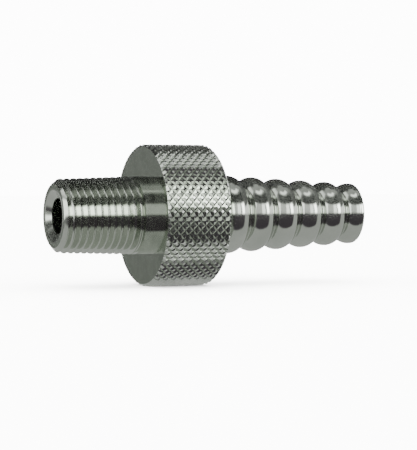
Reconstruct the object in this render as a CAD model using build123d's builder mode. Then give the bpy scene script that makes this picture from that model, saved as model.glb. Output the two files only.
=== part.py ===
from build123d import *
import os
from math import atan, cos, degrees, hypot, radians, sin, sqrt, tan

# In-line carbon dioxide diffuser with a check valve in its hose tail, as an assembly of separate pieces.
#
# Millimetres. The axis of the fitting is X, with +Z up. The origin is on that axis at the hand-tight gauge
# plane of the male taper thread, so the port that takes the thread lies towards -X and the hose lies
# towards +X. Gas enters the tail at +X, lifts the poppet, crosses the sintered disc and leaves at -X.

# ---------------------------------------------------------------- driving dimensions
# Outlet nipple, with a 1/8 inch taper pipe thread: 27 threads per inch, taper 1 in 16 on the diameter.
thread_pitch = 25.4 / 27
thread_taper = 1 / 32  # growth of the radius along the axis
gauge_length = 4.10  # from the tip to the hand-tight gauge plane
thread_tip_r = 4.993  # crest radius at the tip
thread_depth = 0.72
thread_root_flat = 0.06
thread_flank = 30.0  # half angle of the V
thread_turns = 12
thread_start = -0.5 * thread_pitch  # where the first turn of the groove begins, from the tip
thread_cutter_rise = 0.12  # how far the thread cutter stands proud of the crests
nipple_length = 12.7  # from the tip to the front face of the body
shank_r = 5.30
tip_rim_r = 4.32  # flat land at the tip, from here in to the countersink
mouth_r = 3.45
mouth_half_angle = 60.0
outlet_bore_r = 2.40
spigot_r = 3.90  # screwed stub that joins the nipple to the body
spigot_length = 2.10

# Body.
body_r = 9.70  # over the crests of the knurl
body_length = 9.20
body_chamfer = 0.30
nipple_ring_pocket_r = 4.70
nipple_ring_pocket_depth = 0.78
plenum_r = 4.70  # free space each side of the disc
plenum_depth = 0.40
front_wall = 2.60  # from the front face to the ledge that the disc is clamped against
disc_bore_r = 6.00
tapped_r = 7.00  # screwed joint of body and tail
tapped_length = 2.60

# Disc between its two gaskets.
disc_r = 5.95
disc_thickness = 1.50
gasket_thickness = 0.30

# Screwed end of the tail.
pilot_r = 5.95
thread_end_length = 2.50
tail_ring_groove_r = 5.10
tail_ring_groove_width = 1.00
tail_ring_groove_from_front = 0.50
recess_r = 3.60  # holds the spring retainer and its circlip
recess_depth = 1.60
circlip_groove_r = 3.90
circlip_groove_width = 0.55
spanner_hole_r = 0.80
spanner_hole_depth = 1.30
spanner_hole_circle_r = 5.75
spanner_hole_count = 2

# Ribbed outside of the tail.
tail_length = 23.3  # from the rear face of the body to the end face
rib_count = 6
rib_pitch = 3.86
rib_first = 3.48  # crest of the first rib, from the rear face of the body
rib_first_r = 5.44
rib_step = 0.222  # each crest is this much lower than the one before it
rib_arc_r = 2.00
valley_arc_r = 0.25
neck_r = 4.45
tail_edge_r = 0.15

# Valve chamber, seat and inlet bore.
chamber_r = 2.70
chamber_length = 11.60
orifice_r = 1.70
orifice_length = 1.50
inlet_bore_r = 2.30
inlet_chamfer = 0.30
drill_half_angle = 59.0

# Spring retainer, circlip and spring.
retainer_r = 3.55
retainer_thickness = 0.70
retainer_boss_r = 1.15
retainer_boss_length = 0.80
retainer_hole_r = 0.42
retainer_hole_circle_r = 2.15
retainer_hole_count = 6
circlip_outer_r = 3.87
circlip_inner_r = 3.15
circlip_thickness = 0.50
circlip_gap_half_angle = 16.0
circlip_lug_r = 0.52
circlip_lug_circle_r = 2.95
circlip_lug_angle = 24.0
circlip_eye_r = 0.24
spring_mean_r = 1.55
spring_wire_r = 0.14
spring_turns = 6.5

# Poppet.
poppet_r = 2.64
poppet_flat = 2.15  # distance of the four gas flats from the axis
poppet_length = 5.60
poppet_pocket_r = 1.90
poppet_pocket_depth = 1.70
poppet_neck_r = 1.25
poppet_nose_r = 1.60
poppet_nose_length = 0.30
small_edge = 0.15  # chamfer of the poppet's edges and of the retainer's boss

# O-rings: radius of the round section, and the room left between a ring and the walls beside it.
nipple_ring_section_r = 0.36
tail_ring_section_r = 0.42
poppet_ring_section_r = 0.42
ring_gap = 0.02
seat_gap = 0.03

# ---------------------------------------------------------------- places along the axis
tip_x = -gauge_length
body_x = tip_x + nipple_length
rear_x = body_x + body_length
tail_end_x = rear_x + tail_length
ledge_x = body_x + front_wall
disc_x = ledge_x + gasket_thickness
rear_gasket_x = disc_x + disc_thickness
plug_x = rear_gasket_x + gasket_thickness
screwed_x = rear_x - thread_end_length
tail_ring_groove_x = plug_x + tail_ring_groove_from_front
chamber_x = plug_x + recess_depth
retainer_x = chamber_x - retainer_thickness
circlip_groove_x = retainer_x - circlip_groove_width
circlip_x = retainer_x - circlip_thickness
seat_x = chamber_x + chamber_length
orifice_x = seat_x + (chamber_r - orifice_r)  # the seat is a 45 degree cone
drill_x = orifice_x + orifice_length
inlet_x = drill_x + (inlet_bore_r - orifice_r) / tan(radians(drill_half_angle))

# The poppet's O-ring stands seat_gap off the 45 degree cone when the valve is closed.
poppet_ring_r = poppet_neck_r + ring_gap + poppet_ring_section_r
poppet_ring_x = seat_x + chamber_r - poppet_ring_r - (poppet_ring_section_r + seat_gap) * sqrt(2)
poppet_groove_width = 2 * (poppet_ring_section_r + ring_gap)
poppet_neck_x = poppet_ring_x - poppet_groove_width / 2
poppet_nose_x = poppet_neck_x + poppet_groove_width
poppet_x = poppet_neck_x - poppet_length


def crest_r(x):
    """Crest radius of the taper thread at x."""
    return thread_tip_r + (x - tip_x) * thread_taper


def save(part, label):
    """Name a finished piece and write its file."""
    part.label = label
    export_step(part, f"parts/{label}.step")


def turned(points):
    """Closed outline of (x, radius) points, to be revolved about the axis."""
    with BuildSketch() as outline:
        with BuildLine():
            Polyline(*points, close=True)
        make_face()
    return outline.sketch


def thread_turn(index):
    """One turn of the helical V of the taper thread, as a solid to cut out of the nipple."""
    start_x = tip_x + thread_start + index * thread_pitch
    half_root = thread_root_flat / 2
    half_top = half_root + (thread_depth + thread_cutter_rise) * tan(radians(thread_flank))
    with BuildPart() as turn:
        with BuildLine() as path:
            Helix(
                thread_pitch,
                thread_pitch,
                crest_r(start_x),
                center=(start_x, 0, 0),
                direction=(1, 0, 0),
                cone_angle=degrees(atan(thread_taper)),
            )
        start = path.line @ 0
        outward = Vector(0, start.Y, start.Z).normalized()
        with BuildSketch(Plane(origin=start, x_dir=outward, z_dir=path.line % 0)):
            with BuildLine():
                Polyline(
                    (-thread_depth, -half_root),
                    (thread_cutter_rise, -half_top),
                    (thread_cutter_rise, half_top),
                    (-thread_depth, half_root),
                    close=True,
                )
            make_face()
        sweep(path=path.line, is_frenet=True)
    return turn.part


def make_threaded_nipple():
    """Outlet nipple: chamfered tip, taper thread, plain shank, through bore and screwed spigot."""
    tip_chamfer_x = tip_x + (thread_tip_r - tip_rim_r)
    cone_end_x = tip_x + (shank_r - thread_tip_r) / thread_taper
    mouth_x = tip_x + (mouth_r - outlet_bore_r) / tan(radians(mouth_half_angle))
    groove_turns = [thread_turn(index) for index in range(thread_turns)]
    with BuildPart() as nipple:
        revolve(
            turned([
                (tip_x, mouth_r),
                (tip_x, tip_rim_r),
                (tip_chamfer_x, crest_r(tip_chamfer_x)),
                (cone_end_x, shank_r),
                (body_x, shank_r),
                (body_x, spigot_r),
                (body_x + spigot_length, spigot_r),
                (body_x + spigot_length, outlet_bore_r),
                (mouth_x, outlet_bore_r),
            ]),
            axis=Axis.X,
        )
        for groove_turn in groove_turns:
            add(groove_turn, mode=Mode.SUBTRACT)
    save(nipple.part, "threaded_nipple")


def make_knurled_body():
    """Body: tapped front wall, plenum, ledge and bore for the disc, and the tapped rear."""
    tapped_x = rear_x - tapped_length
    pocket_x = body_x + nipple_ring_pocket_depth
    with BuildPart() as body:
        revolve(
            turned([
                (body_x, nipple_ring_pocket_r),
                (body_x, body_r - body_chamfer),
                (body_x + body_chamfer, body_r),
                (rear_x - body_chamfer, body_r),
                (rear_x, body_r - body_chamfer),
                (rear_x, tapped_r),
                (tapped_x, tapped_r),
                (tapped_x, disc_bore_r),
                (ledge_x, disc_bore_r),
                (ledge_x, plenum_r),
                (ledge_x - plenum_depth, plenum_r),
                (ledge_x - plenum_depth, spigot_r),
                (pocket_x, spigot_r),
                (pocket_x, nipple_ring_pocket_r),
            ]),
            axis=Axis.X,
        )
    save(body.part, "knurled_body")


def rib_arcs():
    """Points of the tail's outside, as two lists.

    The first gives, for each rib, where its arc starts, its crest and where it ends. The ribs are equal
    arcs about centres that step down along a straight line, and a small arc touches each pair of
    neighbours. The second list gives the lowest point of each valley. The first valley is on the neck.
    """
    centres = []
    for index in range(rib_count):
        centres.append((rear_x + rib_first + index * rib_pitch, rib_first_r - rib_arc_r - index * rib_step))
    reach = rib_arc_r + valley_arc_r
    lean = hypot(rib_pitch, rib_step)
    out_x = rib_step / lean
    out_r = rib_pitch / lean
    height = sqrt(reach**2 - (lean / 2) ** 2)
    neck_valley_r = neck_r + valley_arc_r
    neck_valley_x = centres[0][0] - sqrt(reach**2 - (neck_valley_r - centres[0][1]) ** 2)
    valleys = [(neck_valley_x, neck_valley_r)]
    bottoms = [(neck_valley_x, neck_r)]
    for (x0, r0), (x1, r1) in zip(centres, centres[1:]):
        x = (x0 + x1) / 2 + out_x * height
        r = (r0 + r1) / 2 + out_r * height
        valleys.append((x, r))
        bottoms.append((x - out_x * valley_arc_r, r - out_r * valley_arc_r))
    ribs = []
    for index, (x, r) in enumerate(centres):
        share = rib_arc_r / reach
        start = (x + (valleys[index][0] - x) * share, r + (valleys[index][1] - r) * share)
        if index + 1 < rib_count:
            after = valleys[index + 1]
            end = (x + (after[0] - x) * share, r + (after[1] - r) * share)
        else:
            end = (tail_end_x, r + sqrt(rib_arc_r**2 - (tail_end_x - x) ** 2))
        ribs.append((start, (x, r + rib_arc_r), end))
    return ribs, bottoms


def make_hose_tail():
    """Hose tail: screwed end, six round ribs, valve chamber with its seat, and the inlet bore."""
    ribs, bottoms = rib_arcs()
    end_r = ribs[-1][2][1]
    with BuildPart() as tail:
        with BuildSketch():
            with BuildLine():
                Polyline((rear_x, neck_r), bottoms[0])
                for index, (start, crest, end) in enumerate(ribs):
                    if index == 0:
                        TangentArc(bottoms[0], start, tangent=(1, 0))
                    else:
                        ThreePointArc(ribs[index - 1][2], bottoms[index], start)
                    ThreePointArc(start, crest, end)
                Polyline(
                    (tail_end_x, end_r),
                    (tail_end_x, inlet_bore_r + inlet_chamfer),
                    (tail_end_x - inlet_chamfer, inlet_bore_r),
                    (inlet_x, inlet_bore_r),
                    (drill_x, orifice_r),
                    (orifice_x, orifice_r),
                    (seat_x, chamber_r),
                    (chamber_x, chamber_r),
                    (chamber_x, recess_r),
                    (retainer_x, recess_r),
                    (retainer_x, circlip_groove_r),
                    (circlip_groove_x, circlip_groove_r),
                    (circlip_groove_x, recess_r),
                    (plug_x, recess_r),
                    (plug_x, pilot_r),
                    (tail_ring_groove_x, pilot_r),
                    (tail_ring_groove_x, tail_ring_groove_r),
                    (tail_ring_groove_x + tail_ring_groove_width, tail_ring_groove_r),
                    (tail_ring_groove_x + tail_ring_groove_width, pilot_r),
                    (screwed_x, pilot_r),
                    (screwed_x, tapped_r),
                    (rear_x, tapped_r),
                    (rear_x, neck_r),
                )
            make_face()
        revolve(axis=Axis.X)
        end_edges = tail.edges().filter_by(GeomType.CIRCLE).group_by(Axis.X)[-1]
        fillet(end_edges.sort_by(SortBy.RADIUS)[-1], tail_edge_r)
        with BuildSketch(Plane.YZ.offset(rear_x)):
            with PolarLocations(spanner_hole_circle_r, spanner_hole_count):
                Circle(spanner_hole_r)
        extrude(amount=-spanner_hole_depth, mode=Mode.SUBTRACT)
    save(tail.part, "hose_tail")


def make_gasket(x, label):
    """Flat PTFE gasket of the disc, with its front face at x."""
    with BuildPart() as gasket:
        with BuildSketch(Plane.YZ.offset(x)):
            Circle(disc_r)
            Circle(plenum_r, mode=Mode.SUBTRACT)
        extrude(amount=gasket_thickness)
    save(gasket.part, label)


def make_diffuser_disc():
    """Sintered stainless disc that breaks the gas into fine bubbles."""
    with BuildPart() as disc:
        with BuildSketch(Plane.YZ.offset(disc_x)):
            Circle(disc_r)
        extrude(amount=disc_thickness)
    save(disc.part, "diffuser_disc")


def make_o_ring(x, ring_r, section_r, label):
    """O-ring about the axis."""
    with BuildPart() as ring:
        with BuildSketch():
            with Locations((x, ring_r)):
                Circle(section_r)
        revolve(axis=Axis.X)
    save(ring.part, label)


def make_spring_retainer():
    """Plate behind the poppet: the gas passes its holes and its boss centres the spring."""
    with BuildPart() as retainer:
        with BuildSketch(Plane.YZ.offset(retainer_x)):
            Circle(retainer_r)
            with PolarLocations(retainer_hole_circle_r, retainer_hole_count):
                Circle(retainer_hole_r, mode=Mode.SUBTRACT)
        extrude(amount=retainer_thickness)
        with BuildSketch(Plane.YZ.offset(chamber_x)):
            Circle(retainer_boss_r)
        extrude(amount=retainer_boss_length)
        chamfer(retainer.edges().filter_by(GeomType.CIRCLE).group_by(Axis.X)[-1], small_edge)
    save(retainer.part, "spring_retainer")


def make_retainer_circlip():
    """Internal circlip that holds the retainer in the tail, with a gap at the top and two eyed lugs."""
    reach = circlip_outer_r * 2
    half_gap = radians(circlip_gap_half_angle)
    with BuildPart() as circlip:
        with BuildSketch(Plane.YZ.offset(circlip_x)):
            Circle(circlip_outer_r)
            Circle(circlip_inner_r, mode=Mode.SUBTRACT)
            with BuildLine():
                Polyline(
                    (0, 0),
                    (-reach * sin(half_gap), reach * cos(half_gap)),
                    (reach * sin(half_gap), reach * cos(half_gap)),
                    close=True,
                )
            make_face(mode=Mode.SUBTRACT)
            for side in (-1, 1):
                lug_angle = radians(90 + side * circlip_lug_angle)
                eye = (circlip_lug_circle_r * cos(lug_angle), circlip_lug_circle_r * sin(lug_angle))
                with Locations(eye):
                    Circle(circlip_lug_r)
                    Circle(circlip_eye_r, mode=Mode.SUBTRACT)
        extrude(amount=circlip_thickness)
    save(circlip.part, "retainer_circlip")


def make_check_spring():
    """Compression spring from the retainer to the bottom of the poppet's pocket."""
    clearance = spring_wire_r + ring_gap
    start_x = chamber_x + clearance
    length = poppet_x + poppet_pocket_depth - clearance - start_x
    with BuildPart() as spring:
        with BuildLine() as path:
            Helix(
                length / spring_turns,
                length,
                spring_mean_r,
                center=(start_x, 0, 0),
                direction=(1, 0, 0),
            )
        with BuildSketch(Plane(origin=path.line @ 0, z_dir=path.line % 0)):
            Circle(spring_wire_r)
        sweep(path=path.line, is_frenet=True)
    save(spring.part, "check_spring")


def make_poppet():
    """Poppet: guide with four gas flats, spring pocket, O-ring neck and nose."""
    nose_end_x = poppet_nose_x + poppet_nose_length
    with BuildPart() as poppet:
        revolve(
            turned([
                (poppet_x, 0),
                (poppet_x, poppet_r - small_edge),
                (poppet_x + small_edge, poppet_r),
                (poppet_neck_x - small_edge, poppet_r),
                (poppet_neck_x, poppet_r - small_edge),
                (poppet_neck_x, 0),
            ]),
            axis=Axis.X,
        )
        with BuildSketch(Plane.YZ.offset(poppet_x)):
            Rectangle(2 * poppet_flat, 2 * poppet_flat)
        extrude(amount=poppet_length, mode=Mode.INTERSECT)
        revolve(
            turned([
                (poppet_neck_x, 0),
                (poppet_neck_x, poppet_neck_r),
                (poppet_nose_x, poppet_neck_r),
                (poppet_nose_x, poppet_nose_r),
                (nose_end_x - small_edge, poppet_nose_r),
                (nose_end_x, poppet_nose_r - small_edge),
                (nose_end_x, 0),
            ]),
            axis=Axis.X,
        )
        with BuildSketch(Plane.YZ.offset(poppet_x)):
            Circle(poppet_pocket_r)
        extrude(amount=poppet_pocket_depth, mode=Mode.SUBTRACT)
    save(poppet.part, "poppet")


os.makedirs("parts", exist_ok=True)
make_threaded_nipple()
make_knurled_body()
make_hose_tail()
make_gasket(ledge_x, "front_gasket")
make_gasket(rear_gasket_x, "rear_gasket")
make_diffuser_disc()
make_spring_retainer()
make_retainer_circlip()
make_check_spring()
make_poppet()
make_o_ring(
    body_x + ring_gap + nipple_ring_section_r,
    spigot_r + ring_gap + nipple_ring_section_r,
    nipple_ring_section_r,
    "nipple_o_ring",
)
make_o_ring(
    tail_ring_groove_x + tail_ring_groove_width / 2,
    tail_ring_groove_r + ring_gap + tail_ring_section_r,
    tail_ring_section_r,
    "tail_o_ring",
)
make_o_ring(poppet_ring_x, poppet_ring_r, poppet_ring_section_r, "poppet_o_ring")
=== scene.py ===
"""Looks of the in-line gas diffuser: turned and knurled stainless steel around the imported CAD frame."""

import math

import bpy
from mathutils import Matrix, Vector


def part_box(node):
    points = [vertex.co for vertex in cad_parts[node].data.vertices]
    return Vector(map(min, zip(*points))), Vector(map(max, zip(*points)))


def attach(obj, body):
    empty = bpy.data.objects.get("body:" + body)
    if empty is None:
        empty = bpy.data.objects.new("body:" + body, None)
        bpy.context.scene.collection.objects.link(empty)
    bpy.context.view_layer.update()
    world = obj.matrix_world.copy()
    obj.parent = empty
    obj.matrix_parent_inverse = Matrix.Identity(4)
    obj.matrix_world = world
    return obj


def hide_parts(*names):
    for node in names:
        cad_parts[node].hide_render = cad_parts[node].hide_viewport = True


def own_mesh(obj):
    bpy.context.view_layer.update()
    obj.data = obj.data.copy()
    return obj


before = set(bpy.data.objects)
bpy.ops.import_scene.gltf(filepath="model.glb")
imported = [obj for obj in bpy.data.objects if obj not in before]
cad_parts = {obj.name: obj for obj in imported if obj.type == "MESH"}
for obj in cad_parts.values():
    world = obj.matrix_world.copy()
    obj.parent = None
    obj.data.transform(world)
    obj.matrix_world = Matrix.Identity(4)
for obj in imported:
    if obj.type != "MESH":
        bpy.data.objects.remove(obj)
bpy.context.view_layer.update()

MM = 0.001

# ---------------------------------------------------------------- sizes, in millimetres
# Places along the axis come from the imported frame; the rest are the turned details.


def corner(node, side, axis):
    """One coordinate of a CAD node's box, in millimetres: side 0 is the low corner, 1 the high one."""
    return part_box(node)[side][axis] / MM


tip_x = corner("threaded_nipple", 0, 0)
spigot_end_x = corner("threaded_nipple", 1, 0)
body_x = corner("knurled_body", 0, 0)
rear_x = corner("knurled_body", 1, 0)
body_r = corner("knurled_body", 1, 2)
plug_x = corner("hose_tail", 0, 0)
tail_end_x = corner("hose_tail", 1, 0)
shank_r = corner("threaded_nipple", 1, 2)
tapped_r = corner("hose_tail", 1, 1)
pilot_r = corner("rear_gasket", 1, 1)
retainer_x = corner("spring_retainer", 0, 0)
spring_low_x = corner("check_spring", 0, 0)
spring_high_x = corner("check_spring", 1, 0)

# Nipple, with its taper pipe thread.
thread_pitch = 25.4 / 27
thread_taper = 1 / 32  # growth of the radius along the axis
thread_tip_r = 4.993  # crest radius at the tip
thread_depth = 0.70
thread_flank = 30  # half angle of the V, in degrees
thread_root_half = 0.03  # half the width of the flat at the root
thread_turns = 12.75
thread_run_out = 1.3 * thread_pitch  # length over which the thread fades into the shank
thread_lift = 1.4 * thread_depth  # how far the cutter is lifted out over the run-out
thread_cutter_rise = 0.60  # how far the cutter stands proud of the crests
outlet_bore_r = 2.40
mouth_r = 3.45
mouth_half_angle = 60
tip_rim_r = 4.32
spigot_r = 3.90
edge_break = 0.06

# Body.
knurl_around = 48  # diamonds round the body
knurl_pitch = 1.15  # from one diamond to the next along the axis
knurl_depth = 0.36
knurl_flat = 0.35  # share of the diamond left flat at its crest
knurl_flat_curve = 0.3  # share of the body's curve that the flat keeps
knurl_spare_rows = 2  # rows that stand over the ends of the body and are cut off
knurl_skirt = 0.2  # the edge of the last row drawn straight out
knurl_cap = 0.3  # from the last row to the flat cap that closes the skin
knurl_merge = 0.005  # corners of neighbouring diamonds closer than this become one
body_chamfer = 0.30
envelope_over = 0.05  # how far the body's envelope stands off the crests
ring_pocket_r = 4.70
ring_pocket_depth = 0.78
plenum_r = 4.70
plenum_depth = 0.40
front_wall = 2.60
disc_bore_r = 6.00
tapped_length = 2.60

# Outside of the tail.
rib_count = 6
rib_pitch = 3.86
rib_first = 3.48  # crest of the first rib, from the rear face of the body
rib_first_r = 5.44
rib_step = 0.222  # each crest is this much lower than the one before it
rib_arc_r = 2.15
rib_valley_r = 0.10
rib_split = 0.10  # the two passes of the tool meet this far towards the body from the crest
rib_groove_depth = 0.012
rib_groove_half = 0.16
neck_r = 4.45
end_edge = (0.12, 0.16)  # reach of the end face's rounded outer edge, along the axis and inwards
end_edge_knee = (0.04, 0.05)  # the point between the two ends of that edge

# Screwed end and inside of the tail.
thread_end_length = 2.50
ring_groove_from_front = 0.50
ring_groove_r = 5.10
ring_groove_width = 1.00
recess_r = 3.60
clip_groove_r = 3.90
clip_groove_width = 0.55
retainer_thickness = 0.70
chamber_r = 2.70
chamber_length = 11.60
orifice_r = 1.70
orifice_length = 1.50
drill_half_angle = 59
inlet_r = 2.30
inlet_chamfer = 0.30
spanner_hole_r = 0.80
spanner_hole_depth = 1.30
spanner_hole_circle_r = 5.75

# Valve spring.
wire_r = 0.14
spring_mean_r = 1.55
spring_half_turns = 13

# Steps round a turned piece, along a rib, along a valley, round the spring and round its wire.
ROUND = 160
RIB_STEPS = 30
VALLEY_STEPS = 4
SPRING_STEPS = 40
WIRE_STEPS = 12

TINY = 0.01  # a corner further than this from the middle counts as off it
LEVEL = 0.95  # a face counts as level when its unit normal stands up by more than this


# ---------------------------------------------------------------- mesh tools
def begin(obj):
    """Open one object in edit mode with nothing selected."""
    bpy.ops.object.select_all(action="DESELECT")
    obj.select_set(True)
    bpy.context.view_layer.objects.active = obj
    bpy.ops.object.mode_set(mode="EDIT")
    bpy.ops.mesh.select_all(action="DESELECT")


def close(obj, merge=0.0005):
    """Merge doubles, turn the faces outwards and leave edit mode."""
    bpy.ops.mesh.select_all(action="SELECT")
    bpy.ops.mesh.remove_doubles(threshold=merge * MM)
    bpy.ops.mesh.normals_make_consistent(inside=False)
    bpy.ops.object.mode_set(mode="OBJECT")
    return obj


def apply_modifier(obj, kind, **settings):
    """Add one modifier, set it and apply it."""
    bpy.ops.object.select_all(action="DESELECT")
    obj.select_set(True)
    bpy.context.view_layer.objects.active = obj
    bpy.ops.object.modifier_add(type=kind)
    modifier = obj.modifiers[-1]
    for name, value in settings.items():
        setattr(modifier, name, value)
    bpy.ops.object.modifier_apply(modifier=modifier.name)


def marker(name, location=(0, 0, 0), rotation=(0, 0, 0)):
    """An empty that a modifier measures from."""
    bpy.ops.object.select_all(action="DESELECT")
    bpy.ops.object.empty_add(location=location, rotation=rotation)
    empty = bpy.context.object
    empty.name = name
    bpy.context.view_layer.update()
    return empty


def cut(obj, cutter, operation="DIFFERENCE"):
    """Cut one closed solid with another, and throw the cutter away."""
    apply_modifier(obj, "BOOLEAN", object=cutter, operation=operation, solver="MANIFOLD")
    bpy.data.objects.remove(cutter)


def clean(obj, merge=0.001):
    """Merge the hair-thin slivers that a cut leaves, and keep the mesh closed."""
    begin(obj)
    bpy.ops.mesh.select_all(action="SELECT")
    bpy.ops.mesh.quads_convert_to_tris(quad_method="BEAUTY", ngon_method="BEAUTY")
    bpy.ops.mesh.remove_doubles(threshold=merge * MM)
    bpy.ops.mesh.dissolve_degenerate(threshold=merge / 2 * MM)
    bpy.ops.object.mode_set(mode="OBJECT")


def select_faces(obj, test):
    """Select, in edit mode, the faces whose centre and normal pass the test."""
    bpy.ops.mesh.select_all(action="DESELECT")
    bpy.ops.object.mode_set(mode="OBJECT")
    for face in obj.data.polygons:
        face.select = bool(test(face.center, face.normal))
    bpy.ops.object.mode_set(mode="EDIT")


def smooth(obj, angle=32):
    """Shade smooth across edges flatter than an angle in degrees."""
    bpy.ops.object.select_all(action="DESELECT")
    obj.select_set(True)
    bpy.context.view_layer.objects.active = obj
    bpy.ops.object.shade_smooth_by_angle(angle=math.radians(angle))


def drawn_outline(name, points):
    """A closed outline of (x, radius) points in the XZ plane, drawn vertex by vertex."""
    bpy.ops.object.select_all(action="DESELECT")
    bpy.ops.mesh.primitive_plane_add(size=MM)
    obj = bpy.context.object
    obj.name = name
    bpy.ops.object.mode_set(mode="EDIT")
    bpy.ops.mesh.merge(type="CENTER")
    bpy.ops.transform.translate(value=(points[0][0] * MM, 0, points[0][1] * MM))
    for (x0, r0), (x1, r1) in zip(points, points[1:]):
        step = ((x1 - x0) * MM, 0, (r1 - r0) * MM)
        bpy.ops.mesh.extrude_region_move(TRANSFORM_OT_translate={"value": step})
    bpy.ops.object.mode_set(mode="OBJECT")
    begin(obj)
    bpy.ops.object.mode_set(mode="OBJECT")
    for index in (0, len(obj.data.vertices) - 1):
        obj.data.vertices[index].select = True
    bpy.ops.object.mode_set(mode="EDIT")
    bpy.ops.mesh.edge_face_add()
    bpy.ops.mesh.select_all(action="SELECT")
    return obj


def turned(name, points, steps=ROUND):
    """A turned solid: the closed outline spun about the X axis."""
    obj = drawn_outline(name, points)
    bpy.ops.mesh.spin(steps=steps, angle=math.tau, center=(0, 0, 0), axis=(1, 0, 0))
    return close(obj)


def arc(centre, radius, start, end, count):
    """Points of an arc, angles in degrees, both ends included."""
    points = []
    for index in range(count + 1):
        a = math.radians(start + (end - start) * index / count)
        points.append((centre[0] + radius * math.cos(a), centre[1] + radius * math.sin(a)))
    return points


# ---------------------------------------------------------------- nipple
def nipple_blank():
    """The nipple before its thread is cut."""
    chamfer_x = tip_x + (thread_tip_r - tip_rim_r)
    cone_end_x = tip_x + (shank_r - thread_tip_r) / thread_taper
    mouth_x = tip_x + (mouth_r - outlet_bore_r) / math.tan(math.radians(mouth_half_angle))
    return turned(
        "turned_nipple",
        [
            (tip_x, mouth_r + edge_break),
            (tip_x, tip_rim_r - edge_break),
            (tip_x + edge_break, tip_rim_r + edge_break / 2),
            (chamfer_x, thread_tip_r + (chamfer_x - tip_x) * thread_taper),
            (cone_end_x, shank_r),
            (body_x, shank_r),
            (body_x, spigot_r),
            (spigot_end_x - edge_break, spigot_r),
            (spigot_end_x, spigot_r - edge_break),
            (spigot_end_x, outlet_bore_r),
            (mouth_x, outlet_bore_r),
            (tip_x + edge_break, mouth_r - edge_break),
        ],
    )


def thread_cutter():
    """Helical V cutter in quarter turns, tapered with the thread and lifted out at its end."""
    half_top = thread_root_half + thread_depth * math.tan(math.radians(thread_flank))
    start_x = tip_x - thread_pitch / 2
    gauge_r = thread_tip_r - tip_x * thread_taper  # crest radius at the gauge plane, where x is 0
    root_r = gauge_r - thread_depth
    top_r = gauge_r + thread_cutter_rise
    obj = drawn_outline(
        "thread_cutter",
        [
            (start_x - thread_root_half, root_r),
            (start_x - half_top, gauge_r),
            (start_x - half_top, top_r),
            (start_x + half_top, top_r),
            (start_x + half_top, gauge_r),
            (start_x + thread_root_half, root_r),
        ],
    )
    bpy.ops.object.mode_set(mode="OBJECT")
    apply_modifier(
        obj,
        "SCREW",
        axis="X",
        angle=math.tau / 4,
        steps=ROUND // 4,
        render_steps=ROUND // 4,
        iterations=round(thread_turns * 4),
        screw_offset=thread_pitch / 4 * MM,
        use_merge_vertices=True,
        merge_threshold=0.0005 * MM,
    )
    begin(obj)
    bpy.ops.mesh.select_non_manifold()
    bpy.ops.mesh.fill_holes(sides=0)
    close(obj)
    low = min(v.co.x for v in obj.data.vertices)
    high = max(v.co.x for v in obj.data.vertices)
    length = (high - low) / MM
    apply_modifier(
        obj,
        "SIMPLE_DEFORM",
        deform_method="TAPER",
        deform_axis="X",
        factor=length * thread_taper / gauge_r,
    )
    run_out_start = marker("run_out_start", location=(high - thread_run_out * MM, 0, 0))
    apply_modifier(
        obj,
        "SIMPLE_DEFORM",
        deform_method="TAPER",
        deform_axis="X",
        origin=run_out_start,
        limits=(1 - thread_run_out / length, 1),
        factor=thread_lift / gauge_r,
    )
    bpy.data.objects.remove(run_out_start)
    return obj


def make_nipple():
    """Outlet nipple: chamfered tip, taper thread, plain shank, bore and spigot."""
    blank = nipple_blank()
    cut(blank, thread_cutter())
    clean(blank)
    smooth(blank)
    return blank


# ---------------------------------------------------------------- knurled body
def knurl_tile():
    """One diamond of the knurl on top of the body: a low pyramid with a small flat, open below."""
    half_angle = math.pi / knurl_around
    root_r = body_r - knurl_depth
    bpy.ops.object.select_all(action="DESELECT")
    bpy.ops.mesh.primitive_circle_add(vertices=4, radius=MM, fill_type="NGON", location=(0, 0, root_r * MM))
    tile = bpy.context.object
    tile.name = "knurl_tile"
    bpy.ops.object.transform_apply(location=True, rotation=True, scale=True)
    begin(tile)
    bpy.ops.mesh.select_all(action="SELECT")
    bpy.ops.transform.resize(value=(knurl_pitch / 2, root_r * math.sin(half_angle), 1))
    bpy.ops.object.mode_set(mode="OBJECT")
    for vertex in tile.data.vertices:
        vertex.select = abs(vertex.co.y) > TINY * MM
    for part in (*tile.data.edges, *tile.data.polygons):
        part.select = False
    bpy.ops.object.mode_set(mode="EDIT")
    bpy.ops.transform.translate(value=(0, 0, -root_r * (1 - math.cos(half_angle)) * MM))
    bpy.ops.mesh.select_all(action="SELECT")
    bpy.ops.mesh.extrude_region_move(TRANSFORM_OT_translate={"value": (0, 0, knurl_depth * MM)})
    bpy.ops.transform.resize(value=(knurl_flat, knurl_flat, knurl_flat_curve))
    bpy.ops.object.mode_set(mode="OBJECT")
    lift = body_r * MM - max(v.co.z for v in tile.data.vertices)
    for vertex in tile.data.vertices:
        vertex.select = vertex.co.z > (root_r + knurl_depth / 2) * MM
    bpy.ops.object.mode_set(mode="EDIT")
    bpy.ops.transform.translate(value=(0, 0, lift))
    low_z = (root_r + knurl_depth / 4) * MM
    select_faces(tile, lambda centre, normal: centre.z < low_z and abs(normal.z) > LEVEL)
    bpy.ops.mesh.delete(type="ONLY_FACE")
    bpy.ops.object.mode_set(mode="OBJECT")
    return tile


def copy_of(obj):
    """A copy with its own mesh."""
    twin = obj.copy()
    twin.data = obj.data.copy()
    bpy.context.collection.objects.link(twin)
    return twin


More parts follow.
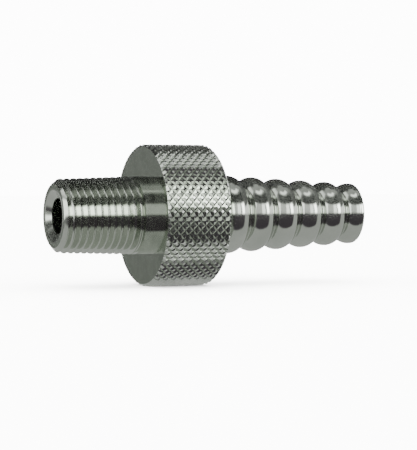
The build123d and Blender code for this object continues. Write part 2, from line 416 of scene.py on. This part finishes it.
def knurl_skin():
    """The crossed rows of diamonds round the body, longer than it at each end and closed by flat caps."""
    tile = knurl_tile()
    turn = marker("knurl_turn", rotation=(math.tau / knurl_around, 0, 0))
    apply_modifier(
        tile,
        "ARRAY",
        count=knurl_around,
        use_relative_offset=False,
        use_object_offset=True,
        offset_object=turn,
    )
    bpy.data.objects.remove(turn)
    rows = math.ceil((rear_x - body_x) / knurl_pitch) + knurl_spare_rows
    apply_modifier(
        tile,
        "ARRAY",
        count=rows,
        use_relative_offset=False,
        use_constant_offset=True,
        constant_offset_displace=(knurl_pitch * MM, 0, 0),
    )
    other = copy_of(tile)
    other.rotation_euler = (math.pi / knurl_around, 0, 0)
    other.location = (knurl_pitch / 2 * MM, 0, 0)
    bpy.ops.object.select_all(action="DESELECT")
    other.select_set(True)
    tile.select_set(True)
    bpy.context.view_layer.objects.active = tile
    bpy.ops.object.join()
    tile.name = "knurled_shell"
    middle = (body_x + rear_x) / 2
    tile.location = ((middle - (rows - 0.5) * knurl_pitch / 2) * MM, 0, 0)
    bpy.ops.object.transform_apply(location=True, rotation=True, scale=True)
    begin(tile)
    bpy.ops.mesh.select_all(action="SELECT")
    bpy.ops.mesh.remove_doubles(threshold=knurl_merge * MM)
    for sense in (-1, 1):
        bpy.ops.mesh.select_all(action="DESELECT")
        bpy.ops.mesh.select_non_manifold()
        bpy.ops.object.mode_set(mode="OBJECT")
        open_end = [v for v in tile.data.vertices if v.select and (v.co.x - middle * MM) * sense > 0]
        chosen = {v.index for v in open_end}
        edges = [e.index for e in tile.data.edges if e.select and chosen.issuperset(e.vertices)]
        bpy.ops.object.mode_set(mode="EDIT")
        bpy.ops.mesh.select_all(action="DESELECT")
        bpy.ops.object.mode_set(mode="OBJECT")
        for index in edges:
            tile.data.edges[index].select = True
        bpy.ops.object.mode_set(mode="EDIT")
        outwards = (sense * knurl_skirt * MM, 0, 0)
        bpy.ops.mesh.extrude_edges_move(TRANSFORM_OT_translate={"value": outwards})
        end_x = (middle + sense * ((rows + 0.5) * knurl_pitch / 2 + knurl_cap)) * MM
        bpy.ops.transform.resize(value=(0, 1, 1), center_override=(end_x, 0, 0))
        bpy.ops.mesh.edge_face_add()
    return close(tile)


def body_envelope():
    """The body as it would be with no knurl, a hair over its true radius so that only its ends cut."""
    tapped_x = rear_x - tapped_length
    ledge_x = body_x + front_wall
    pocket_x = body_x + ring_pocket_depth
    over_r = body_r + envelope_over
    over_chamfer = body_chamfer + envelope_over
    return turned(
        "body_envelope",
        [
            (body_x, ring_pocket_r),
            (body_x, body_r - body_chamfer),
            (body_x + over_chamfer, over_r),
            (rear_x - over_chamfer, over_r),
            (rear_x, body_r - body_chamfer),
            (rear_x, tapped_r),
            (tapped_x, tapped_r),
            (tapped_x, disc_bore_r),
            (ledge_x, disc_bore_r),
            (ledge_x, plenum_r),
            (ledge_x - plenum_depth, plenum_r),
            (ledge_x - plenum_depth, spigot_r),
            (pocket_x, spigot_r),
            (pocket_x, ring_pocket_r),
        ],
    )


def make_body():
    """Body: the knurled skin, cut to the body's ends, chamfers and bores."""
    skin = knurl_skin()
    cut(skin, body_envelope(), "INTERSECT")
    clean(skin)
    smooth(skin, angle=12)
    return skin


# ---------------------------------------------------------------- hose tail
def rib_outline():
    """Outside of the tail from the body's rear face to its end face: round ribs and sharp valleys."""
    centres = []
    for index in range(rib_count):
        x = rear_x + rib_first + index * rib_pitch
        centres.append((x, rib_first_r - rib_arc_r - index * rib_step))
    reach = rib_arc_r + rib_valley_r
    lean = math.hypot(rib_pitch, rib_step)
    out = (rib_step / lean, rib_pitch / lean)
    height = math.sqrt(reach**2 - (lean / 2) ** 2)
    neck_valley_r = neck_r + rib_valley_r
    neck_valley_x = centres[0][0] - math.sqrt(reach**2 - (neck_valley_r - centres[0][1]) ** 2)
    valleys = [(neck_valley_x, neck_valley_r)]
    for (x0, r0), (x1, r1) in zip(centres, centres[1:]):
        valleys.append(((x0 + x1) / 2 + out[0] * height, (r0 + r1) / 2 + out[1] * height))
    points = [(rear_x, neck_r)]
    for index, (x, r) in enumerate(centres):
        before = valleys[index]
        angle_in = math.degrees(math.atan2(before[1] - r, before[0] - x))
        if index == 0:
            points += arc(before, rib_valley_r, -90, angle_in - 180, VALLEY_STEPS)
        if index + 1 < rib_count:
            after = valleys[index + 1]
            angle_out = math.degrees(math.atan2(after[1] - r, after[0] - x))
        else:
            angle_out = math.degrees(math.acos((tail_end_x - end_edge[0] - x) / rib_arc_r))
        points += rib_passes((x, r), angle_in, angle_out)
        if index + 1 < rib_count:
            following = centres[index + 1]
            start = angle_out - 180
            end = math.degrees(math.atan2(following[1] - after[1], following[0] - after[0]))
            points += arc(after, rib_valley_r, start, end, VALLEY_STEPS)[1:-1]
    return points


def rib_passes(centre, start, end):
    """The arc of one rib, with the faint groove where two passes of the tool meet."""
    points = []
    for x, r in arc(centre, rib_arc_r, start, end, RIB_STEPS):
        away = abs(x - (centre[0] - rib_split)) / rib_groove_half
        if away < 1:
            r -= rib_groove_depth * (1 - away)
        points.append((x, r))
    return points


def tail_outline():
    """Closed outline of the tail: ribs, end face, bore, seat, chamber, recess and screwed end."""
    chamber_x = retainer_x + retainer_thickness
    seat_x = chamber_x + chamber_length
    orifice_x = seat_x + chamber_r - orifice_r  # the seat is a 45 degree cone
    drill_x = orifice_x + orifice_length
    inlet_x = drill_x + (inlet_r - orifice_r) / math.tan(math.radians(drill_half_angle))
    clip_groove_x = retainer_x - clip_groove_width
    ring_groove_x = plug_x + ring_groove_from_front
    ring_groove_end_x = ring_groove_x + ring_groove_width
    screwed_x = rear_x - thread_end_length
    outside = rib_outline()
    end_r = outside[-1][1]
    return outside + [
        (tail_end_x - end_edge_knee[0], end_r - end_edge_knee[1]),
        (tail_end_x, end_r - end_edge[1]),
        (tail_end_x, inlet_r + inlet_chamfer),
        (tail_end_x - inlet_chamfer, inlet_r),
        (inlet_x, inlet_r),
        (drill_x, orifice_r),
        (orifice_x, orifice_r),
        (seat_x, chamber_r),
        (chamber_x, chamber_r),
        (chamber_x, recess_r),
        (retainer_x, recess_r),
        (retainer_x, clip_groove_r),
        (clip_groove_x, clip_groove_r),
        (clip_groove_x, recess_r),
        (plug_x, recess_r),
        (plug_x, pilot_r),
        (ring_groove_x, pilot_r),
        (ring_groove_x, ring_groove_r),
        (ring_groove_end_x, ring_groove_r),
        (ring_groove_end_x, pilot_r),
        (screwed_x, pilot_r),
        (screwed_x, tapped_r),
        (rear_x - edge_break, tapped_r),
        (rear_x, tapped_r - edge_break),
    ]


def make_tail():
    """Hose tail, with the two pin-spanner holes drilled in its rear face."""
    ribbed = turned("ribbed_tail", tail_outline())
    for side in (-1, 1):
        bpy.ops.object.select_all(action="DESELECT")
        bpy.ops.mesh.primitive_cylinder_add(
            vertices=32,
            radius=spanner_hole_r * MM,
            depth=2 * spanner_hole_depth * MM,
            location=(rear_x * MM, side * spanner_hole_circle_r * MM, 0),
            rotation=(0, math.pi / 2, 0),
        )
        drill = bpy.context.object
        bpy.ops.object.transform_apply(location=True, rotation=True, scale=True)
        cut(ribbed, drill)
    clean(ribbed)
    smooth(ribbed)
    return ribbed


# ---------------------------------------------------------------- valve spring
def make_spring():
    """Helix of round wire with plain cut ends, between the retainer and the poppet."""
    length = spring_high_x - spring_low_x - 2 * wire_r
    section = arc((spring_low_x + wire_r, spring_mean_r), wire_r, 0, 360, WIRE_STEPS)[:-1]
    coil = drawn_outline("valve_spring", section)
    bpy.ops.object.mode_set(mode="OBJECT")
    apply_modifier(
        coil,
        "SCREW",
        axis="X",
        angle=math.pi,
        steps=SPRING_STEPS // 2,
        render_steps=SPRING_STEPS // 2,
        iterations=spring_half_turns,
        screw_offset=length / spring_half_turns * MM,
        use_merge_vertices=True,
        merge_threshold=0.0005 * MM,
    )
    begin(coil)
    bpy.ops.mesh.select_non_manifold()
    bpy.ops.mesh.fill_holes(sides=0)
    close(coil)
    smooth(coil, angle=60)
    return coil


# ---------------------------------------------------------------- node groups
def new_group(name, inputs, outputs):
    """An empty shader node group with its sockets."""
    group = bpy.data.node_groups.new(name, "ShaderNodeTree")
    for socket, kind, default in inputs:
        made = group.interface.new_socket(name=socket, in_out="INPUT", socket_type=kind)
        if default is not None:
            made.default_value = default
    for socket, kind in outputs:
        group.interface.new_socket(name=socket, in_out="OUTPUT", socket_type=kind)
    return group


def math_node(nodes, operation, *values):
    """Output of a new Math node, fed by numbers or by other outputs."""
    node = nodes.new("ShaderNodeMath")
    node.operation = operation
    for index, value in enumerate(values):
        if isinstance(value, (int, float)):
            node.inputs[index].default_value = value
        else:
            node.id_data.links.new(value, node.inputs[index])
    return node.outputs[0]


def ramp(nodes, value, start, end, interpolation="LINEAR"):
    """0 at the start value, 1 at the end value, and level beyond them."""
    node = nodes.new("ShaderNodeMapRange")
    node.interpolation_type = interpolation
    node.inputs["From Min"].default_value = start
    node.inputs["From Max"].default_value = end
    node.id_data.links.new(value, node.inputs["Value"])
    return node.outputs[0]


def turning_marks_group():
    """Fine rings left by the tool, along the axis on round faces and by radius on flat ones."""
    radius_share = 1.37  # rings per mm of radius, for one ring per mm along the axis
    drift = 0.35  # how much a ring changes on its way round
    group = new_group(
        "turning_marks",
        [("Rings per mm", "NodeSocketFloat", 9.0), ("Depth", "NodeSocketFloat", 0.5)],
        [("Height", "NodeSocketFloat"), ("Mask", "NodeSocketFloat")],
    )
    nodes, links = group.nodes, group.links
    source = nodes.new("NodeGroupInput")
    sink = nodes.new("NodeGroupOutput")
    where = nodes.new("ShaderNodeTexCoord")
    parts = nodes.new("ShaderNodeSeparateXYZ")
    links.new(where.outputs["Object"], parts.inputs[0])
    y2 = math_node(nodes, "MULTIPLY", parts.outputs[1], parts.outputs[1])
    z2 = math_node(nodes, "MULTIPLY", parts.outputs[2], parts.outputs[2])
    radius = math_node(nodes, "SQRT", math_node(nodes, "ADD", y2, z2))
    along = math_node(nodes, "ADD", parts.outputs[0], math_node(nodes, "MULTIPLY", radius, radius_share))
    angle = math_node(nodes, "ARCTAN2", parts.outputs[1], parts.outputs[2])
    in_mm = math_node(nodes, "MULTIPLY", along, 1 / MM)
    rings = math_node(nodes, "MULTIPLY", in_mm, source.outputs["Rings per mm"])
    slow = math_node(nodes, "MULTIPLY", math_node(nodes, "SINE", angle), drift)
    slow_other = math_node(nodes, "MULTIPLY", math_node(nodes, "COSINE", angle), drift)
    vector = nodes.new("ShaderNodeCombineXYZ")
    links.new(rings, vector.inputs[0])
    links.new(slow, vector.inputs[1])
    links.new(slow_other, vector.inputs[2])
    noise = nodes.new("ShaderNodeTexNoise")
    noise.inputs["Scale"].default_value = 1.0
    noise.inputs["Detail"].default_value = 3.0
    noise.inputs["Roughness"].default_value = 0.65
    links.new(vector.outputs[0], noise.inputs["Vector"])
    height = math_node(nodes, "MULTIPLY", noise.outputs["Fac"], source.outputs["Depth"])
    links.new(height, sink.inputs["Height"])
    links.new(noise.outputs["Fac"], sink.inputs["Mask"])
    return group


def tarnish_group():
    """Soft uneven tone: handling marks and a slight film on bright metal."""
    group = new_group(
        "tarnish",
        [
            ("Bright", "NodeSocketColor", (0.6, 0.62, 0.58, 1)),
            ("Dull", "NodeSocketColor", (0.5, 0.52, 0.48, 1)),
            ("Patches per mm", "NodeSocketFloat", 0.25),
            ("Low roughness", "NodeSocketFloat", 0.12),
            ("High roughness", "NodeSocketFloat", 0.2),
        ],
        [("Color", "NodeSocketColor"), ("Roughness", "NodeSocketFloat")],
    )
    nodes, links = group.nodes, group.links
    source = nodes.new("NodeGroupInput")
    sink = nodes.new("NodeGroupOutput")
    where = nodes.new("ShaderNodeTexCoord")
    scale = nodes.new("ShaderNodeVectorMath")
    scale.operation = "SCALE"
    links.new(where.outputs["Object"], scale.inputs[0])
    links.new(math_node(nodes, "MULTIPLY", source.outputs["Patches per mm"], 1 / MM), scale.inputs["Scale"])
    noise = nodes.new("ShaderNodeTexNoise")
    noise.inputs["Scale"].default_value = 1.0
    noise.inputs["Detail"].default_value = 5.0
    noise.inputs["Roughness"].default_value = 0.6
    links.new(scale.outputs[0], noise.inputs["Vector"])
    spread = ramp(nodes, noise.outputs["Fac"], 0.35, 0.65)
    tone = nodes.new("ShaderNodeMix")
    tone.data_type = "RGBA"
    links.new(spread, tone.inputs["Factor"])
    links.new(source.outputs["Bright"], tone.inputs["A"])
    links.new(source.outputs["Dull"], tone.inputs["B"])
    links.new(tone.outputs["Result"], sink.inputs["Color"])
    rough = nodes.new("ShaderNodeMix")
    links.new(spread, rough.inputs["Factor"])
    links.new(source.outputs["Low roughness"], rough.inputs["A"])
    links.new(source.outputs["High roughness"], rough.inputs["B"])
    links.new(rough.outputs["Result"], sink.inputs["Roughness"])
    return group


TURNING = turning_marks_group()
TARNISH = tarnish_group()


# ---------------------------------------------------------------- materials
def new_material(name):
    """A new material, with its nodes, links and shader."""
    material = bpy.data.materials.new(name)
    material.use_nodes = True
    tree = material.node_tree
    return material, tree.nodes, tree.links, tree.nodes["Principled BSDF"]


def group_node(nodes, group, **values):
    """Place a node group with its own values, where an underscore stands for a space."""
    node = nodes.new("ShaderNodeGroup")
    node.node_tree = group
    for name, value in values.items():
        node.inputs[name.replace("_", " ")].default_value = value
    return node


def turned_steel(name, bright, dull, low, high, rings, depth):
    """Stainless steel with tool rings per mm, of a depth in mm, and a slight uneven film."""
    ring_roughness = 0.05  # how much rougher the rings make it
    material, nodes, links, shader = new_material(name)
    shader.inputs["Metallic"].default_value = 1.0
    tone = group_node(
        nodes, TARNISH, Bright=(*bright, 1), Dull=(*dull, 1), Low_roughness=low, High_roughness=high
    )
    links.new(tone.outputs["Color"], shader.inputs["Base Color"])
    marks = group_node(nodes, TURNING, Rings_per_mm=rings, Depth=1.0)
    mask = marks.outputs["Mask"]
    rough = math_node(nodes, "MULTIPLY_ADD", mask, ring_roughness, tone.outputs["Roughness"])
    links.new(rough, shader.inputs["Roughness"])
    bump = nodes.new("ShaderNodeBump")
    bump.inputs["Strength"].default_value = 1.0
    bump.inputs["Distance"].default_value = depth * MM
    links.new(marks.outputs["Height"], bump.inputs["Height"])
    links.new(bump.outputs[0], shader.inputs["Normal"])
    return material


def put(obj, material):
    """Give an object one material."""
    obj.data.materials.clear()
    obj.data.materials.append(material)


def plain_material(name, bright, dull, low, high, metallic, patches):
    """A material with an uneven tone, in patches per mm, and no tool marks."""
    material, nodes, links, shader = new_material(name)
    shader.inputs["Metallic"].default_value = metallic
    tone = group_node(
        nodes,
        TARNISH,
        Bright=(*bright, 1),
        Dull=(*dull, 1),
        Patches_per_mm=patches,
        Low_roughness=low,
        High_roughness=high,
    )
    links.new(tone.outputs["Color"], shader.inputs["Base Color"])
    links.new(tone.outputs["Roughness"], shader.inputs["Roughness"])
    return material


STEEL = turned_steel(
    "turned_stainless",
    bright=(0.585, 0.625, 0.555),
    dull=(0.51, 0.55, 0.485),
    low=0.055,
    high=0.10,
    rings=11.0,
    depth=0.0026,
)
KNURL = turned_steel(
    "knurled_stainless",
    bright=(0.65, 0.69, 0.625),
    dull=(0.50, 0.54, 0.48),
    low=0.03,
    high=0.08,
    rings=11.0,
    depth=0.0010,
)
RUBBER = plain_material(
    "black_rubber",
    bright=(0.02, 0.02, 0.02),
    dull=(0.035, 0.035, 0.034),
    low=0.45,
    high=0.6,
    metallic=0.0,
    patches=1.5,
)
PTFE = plain_material(
    "white_ptfe",
    bright=(0.82, 0.82, 0.80),
    dull=(0.74, 0.74, 0.71),
    low=0.35,
    high=0.5,
    metallic=0.0,
    patches=0.8,
)
SINTER = plain_material(
    "sintered_steel",
    bright=(0.44, 0.43, 0.41),
    dull=(0.22, 0.21, 0.20),
    low=0.5,
    high=0.75,
    metallic=1.0,
    patches=9.0,
)
WIRE = plain_material(
    "spring_wire",
    bright=(0.55, 0.55, 0.54),
    dull=(0.42, 0.42, 0.41),
    low=0.22,
    high=0.32,
    metallic=1.0,
    patches=2.0,
)

# ---------------------------------------------------------------- pieces
nipple = make_nipple()
shell = make_body()
tail = make_tail()
spring = make_spring()
for piece, node, slot, material in (
    (nipple, "threaded_nipple", "stainless", STEEL),
    (shell, "knurled_body", "stainless_knurled", KNURL),
    (tail, "hose_tail", "stainless", STEEL),
    (spring, "check_spring", "spring_steel", WIRE),
):
    put(piece, material)
    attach(piece, "fitting")
    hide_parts(node)
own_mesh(spring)
for node, material in (
    ("nipple_o_ring", RUBBER),
    ("tail_o_ring", RUBBER),
    ("poppet_o_ring", RUBBER),
    ("front_gasket", PTFE),
    ("rear_gasket", PTFE),
    ("diffuser_disc", SINTER),
    ("retainer_circlip", WIRE),
    ("spring_retainer", STEEL),
    ("poppet", STEEL),
):
    put(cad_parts[node], material)
    smooth(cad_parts[node])


# ---------------------------------------------------------------- studio
def patch(nodes, azimuth, elevation, centre, half, soft):
    """How far a direction lies inside one soft-edged patch of the surroundings, all in degrees."""
    wrapped = math_node(nodes, "SUBTRACT", azimuth, math.radians(centre[0]))
    wrapped = math_node(nodes, "WRAP", wrapped, math.pi, -math.pi)
    masks = []
    for value, reach, edge in (
        (wrapped, half[0], soft[0]),
        (math_node(nodes, "SUBTRACT", elevation, math.radians(centre[1])), half[1], soft[1]),
    ):
        away = math_node(nodes, "ABSOLUTE", value)
        outside, inside = math.radians(reach + edge), math.radians(reach - edge)
        masks.append(ramp(nodes, away, outside, inside, "SMOOTHSTEP"))
    return math_node(nodes, "MULTIPLY", *masks)


def over(nodes, below, above, mask):
    """Lay one tone over another."""
    node = nodes.new("ShaderNodeMix")
    node.data_type = "RGBA"
    links = nodes.id_data.links
    links.new(mask, node.inputs["Factor"])
    for socket, value in (("A", below), ("B", above)):
        if isinstance(value, tuple):
            node.inputs[socket].default_value = (*value, 1)
        else:
            links.new(value, node.inputs[socket])
    return node.outputs["Result"]


def grey(level):
    """A neutral tone."""
    return (level, level, level)


# Soft boxes and dark room corners: centre, half size and edge in degrees, then the tone.
# Azimuth 0 is in front of the piece, positive towards its hose end; elevation 90 is overhead.
ROOM = (
    ((0, 90), (180, 36), (1, 7), grey(0.42)),
    ((-165, 62), (48, 12), (12, 4), grey(0.03)),
    ((-165, 30), (42, 25), (12, 4), grey(0.02)),
    ((150, 38), (46, 36), (10, 5), grey(0.04)),
    ((0, 45), (75, 14), (22, 4), grey(0.03)),
    ((90, 28), (34, 20), (14, 8), grey(0.13)),
    ((-105, 47), (20, 12), (6, 5), grey(1.5)),
    ((0, 82), (60, 15), (18, 5), grey(0.4)),
    ((0, 69), (60, 5), (14, 3), grey(2.2)),
    ((-22, 15), (82, 15), (6, 3), grey(0.5)),
    ((-112, 15), (14, 4), (4, 2), grey(0.05)),
    ((-78, 14), (25, 16), (3, 3), grey(3.0)),
    ((-98, 1), (13, 5.5), (3, 2), grey(3.4)),
    ((-28, 17), (22, 14), (3, 5), grey(0.9)),
    ((5, 17), (14, 14), (3, 5), grey(2.8)),
    ((36, 16), (13, 13), (4, 5), grey(8.0)),
    ((22, 16), (3, 14), (2, 5), grey(0.4)),
    ((92, 9), (42, 8), (10, 3), grey(1.8)),
)
WALL = grey(0.36)
TABLE = grey(0.56)
ROOM_SHADE = (0.076, 0.064, 0.078)  # the dark, faintly purple room below the soft boxes
BODY_SHADE = (0.190, 0.200, 0.186)  # what the flat front face of the body mirrors
# The dark room in front, the right side of the table, and what is laid over all of it at the end.
DARK_ROOM = ((-16, -22), (66, 23.5), (7, 4))
TABLE_RIGHT = ((118, -45), (68, 45), (6, 2))
ON_TOP = (
    ((-101, -14), (10, 6), (3, 2), ROOM_SHADE),
    ((-157, -2), (16, 8), (8, 6), BODY_SHADE),
)
TABLE_TURN = -10  # the table's front edge against the front of the piece, in degrees
TABLE_EDGE = (-0.07, 0.08)  # drop below that edge where the table starts, and where it is full
HORIZON = (0.0, -0.06)  # height where the table starts, and where it is full
ROOM_LIGHT = 13.0  # plain white light for every ray that isn't mirrored by the metal


def studio_world():
    """The surroundings: soft boxes, a pale table and a dark room beyond its front edge."""
    world = bpy.data.worlds.new("studio")
    bpy.context.scene.world = world
    world.use_nodes = True
    nodes, links = world.node_tree.nodes, world.node_tree.links
    nodes.clear()
    where = nodes.new("ShaderNodeTexCoord")
    parts = nodes.new("ShaderNodeSeparateXYZ")
    links.new(where.outputs["Generated"], parts.inputs[0])
    side, height = parts.outputs[0], parts.outputs[2]
    front = math_node(nodes, "MULTIPLY", parts.outputs[1], -1.0)
    azimuth = math_node(nodes, "ARCTAN2", side, front)
    elevation = math_node(nodes, "ARCSINE", height)
    tone = WALL
    for centre, half, soft, level in ROOM:
        tone = over(nodes, tone, level, patch(nodes, azimuth, elevation, centre, half, soft))
    tone = over(nodes, tone, ROOM_SHADE, patch(nodes, azimuth, elevation, *DARK_ROOM))

    # The table ends in front of the piece, at an edge that runs across the view.
    turned_front = math.radians(TABLE_TURN)
    ahead = math_node(
        nodes,
        "ADD",
        math_node(nodes, "MULTIPLY", side, math.sin(turned_front)),
        math_node(nodes, "MULTIPLY", front, math.cos(turned_front)),
    )
    ahead = math_node(nodes, "MAXIMUM", ahead, 0.0)
    depth = math_node(nodes, "SUBTRACT", math_node(nodes, "MULTIPLY", height, -1.0), ahead)
    table = ramp(nodes, depth, *TABLE_EDGE, "SMOOTHSTEP")
    right = patch(nodes, azimuth, elevation, *TABLE_RIGHT)
    table = math_node(nodes, "MAXIMUM", table, right)
    table = math_node(nodes, "MULTIPLY", table, ramp(nodes, height, *HORIZON))
    tone = over(nodes, tone, TABLE, table)
    for centre, half, soft, level in ON_TOP:
        tone = over(nodes, tone, level, patch(nodes, azimuth, elevation, centre, half, soft))

    seen = nodes.new("ShaderNodeBackground")
    links.new(tone, seen.inputs["Color"])
    plain = nodes.new("ShaderNodeBackground")
    plain.inputs["Color"].default_value = (1, 1, 1, 1)
    plain.inputs["Strength"].default_value = ROOM_LIGHT
    path = nodes.new("ShaderNodeLightPath")
    blend = nodes.new("ShaderNodeMixShader")
    links.new(path.outputs["Is Glossy Ray"], blend.inputs[0])
    links.new(plain.outputs[0], blend.inputs[1])
    links.new(seen.outputs[0], blend.inputs[2])
    out = nodes.new("ShaderNodeOutputWorld")
    links.new(blend.outputs[0], out.inputs[0])


def studio_floor():
    """Flat pale floor under the piece, which the metal doesn't mirror."""
    bpy.ops.object.select_all(action="DESELECT")
    bpy.ops.mesh.primitive_plane_add(size=2.4, location=(0, 0, -body_r * MM))
    floor = bpy.context.object
    floor.name = "floor"
    bpy.ops.object.transform_apply(location=True, rotation=True, scale=True)
    material, _, _, shader = new_material("pale_floor")
    shader.inputs["Base Color"].default_value = (0.93, 0.93, 0.92, 1)
    shader.inputs["Roughness"].default_value = 0.9
    shader.inputs["Specular IOR Level"].default_value = 0.0
    put(floor, material)
    floor.visible_glossy = False


def studio_camera():
    """Camera at the left and a touch above, as far back as a hand-held close-up."""
    azimuth, elevation = math.radians(-23.6), math.radians(1.2)
    distance = 240
    aim_right, aim_down = 3.32, 1.40
    back = Vector(
        (
            math.sin(azimuth) * math.cos(elevation),
            -math.cos(azimuth) * math.cos(elevation),
            math.sin(elevation),
        )
    )
    right = Vector((math.cos(azimuth), math.sin(azimuth), 0))
    up = back.cross(right)
    pivot = Vector((15, 0, 0))
    place = pivot + back * distance
    aim = pivot + right * aim_right - up * aim_down
    data = bpy.data.cameras.new("camera")
    data.lens = 139.0
    data.sensor_width = 36
    data.clip_start = 0.01
    camera = bpy.data.objects.new("camera", data)
    bpy.context.collection.objects.link(camera)
    camera.location = place * MM
    camera.rotation_mode = "QUATERNION"
    camera.rotation_quaternion = (aim - place).to_track_quat("-Z", "Y")
    bpy.context.scene.camera = camera


studio_world()
studio_floor()
studio_camera()
